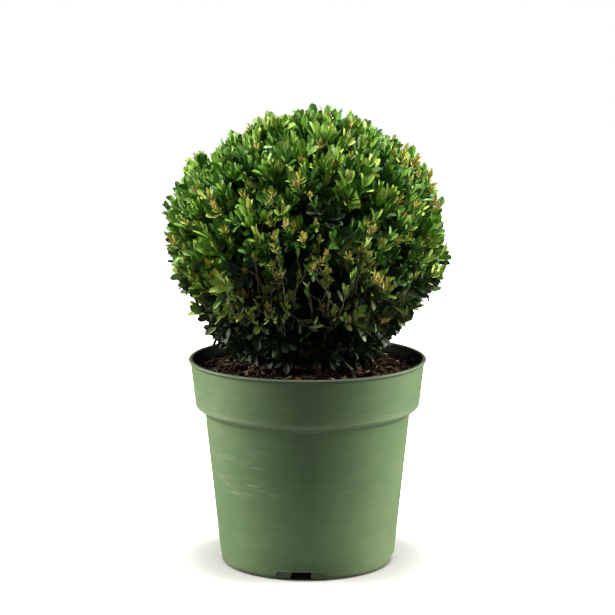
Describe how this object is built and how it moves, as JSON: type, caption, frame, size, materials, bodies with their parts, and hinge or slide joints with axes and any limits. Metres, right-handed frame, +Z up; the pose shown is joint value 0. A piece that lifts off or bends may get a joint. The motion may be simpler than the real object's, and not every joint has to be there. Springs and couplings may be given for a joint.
{
  "type": "clipped holly ball in nursery pot",
  "caption": "Evergreen holly shrub clipped into a dense ball on short thin stems, rooted in soil in a round tapered nursery pot with a deep collar and drainage notches.",
  "frame": {"origin": "centre of the pot's flat underside, on the surface that the pot stands on", "axes": "+Z up along the pot's axis, -Y towards the front of the plant, +X to the right as seen from the front"},
  "size_m": [0.2922, 0.2945, 0.4626],
  "materials": {
    "pot": "satin sage green moulded plastic",
    "soil": "dark moist potting soil with bark chips",
    "bark": "thin grey-brown bark",
    "foliage": "glossy green leaves"
  },
  "bodies": {
    "root": {"pot": "pot", "soil": "soil", "trunk": "bark", "bough_top": "bark", "bough_upper_1": "bark", "bough_upper_2": "bark", "bough_upper_3": "bark", "bough_upper_4": "bark", "bough_upper_5": "bark", "bough_upper_6": "bark", "bough_lower_1": "bark", "bough_lower_2": "bark", "bough_lower_3": "bark", "bough_lower_4": "bark", "bough_lower_5": "bark", "bough_lower_6": "bark", "foliage_top": "foliage", "foliage_upper_1": "foliage", "foliage_upper_2": "foliage", "foliage_upper_3": "foliage", "foliage_upper_4": "foliage", "foliage_upper_5": "foliage", "foliage_upper_6": "foliage", "foliage_lower_1": "foliage", "foliage_lower_2": "foliage", "foliage_lower_3": "foliage", "foliage_lower_4": "foliage", "foliage_lower_5": "foliage", "foliage_lower_6": "foliage"}
  },
  "joints": []
}
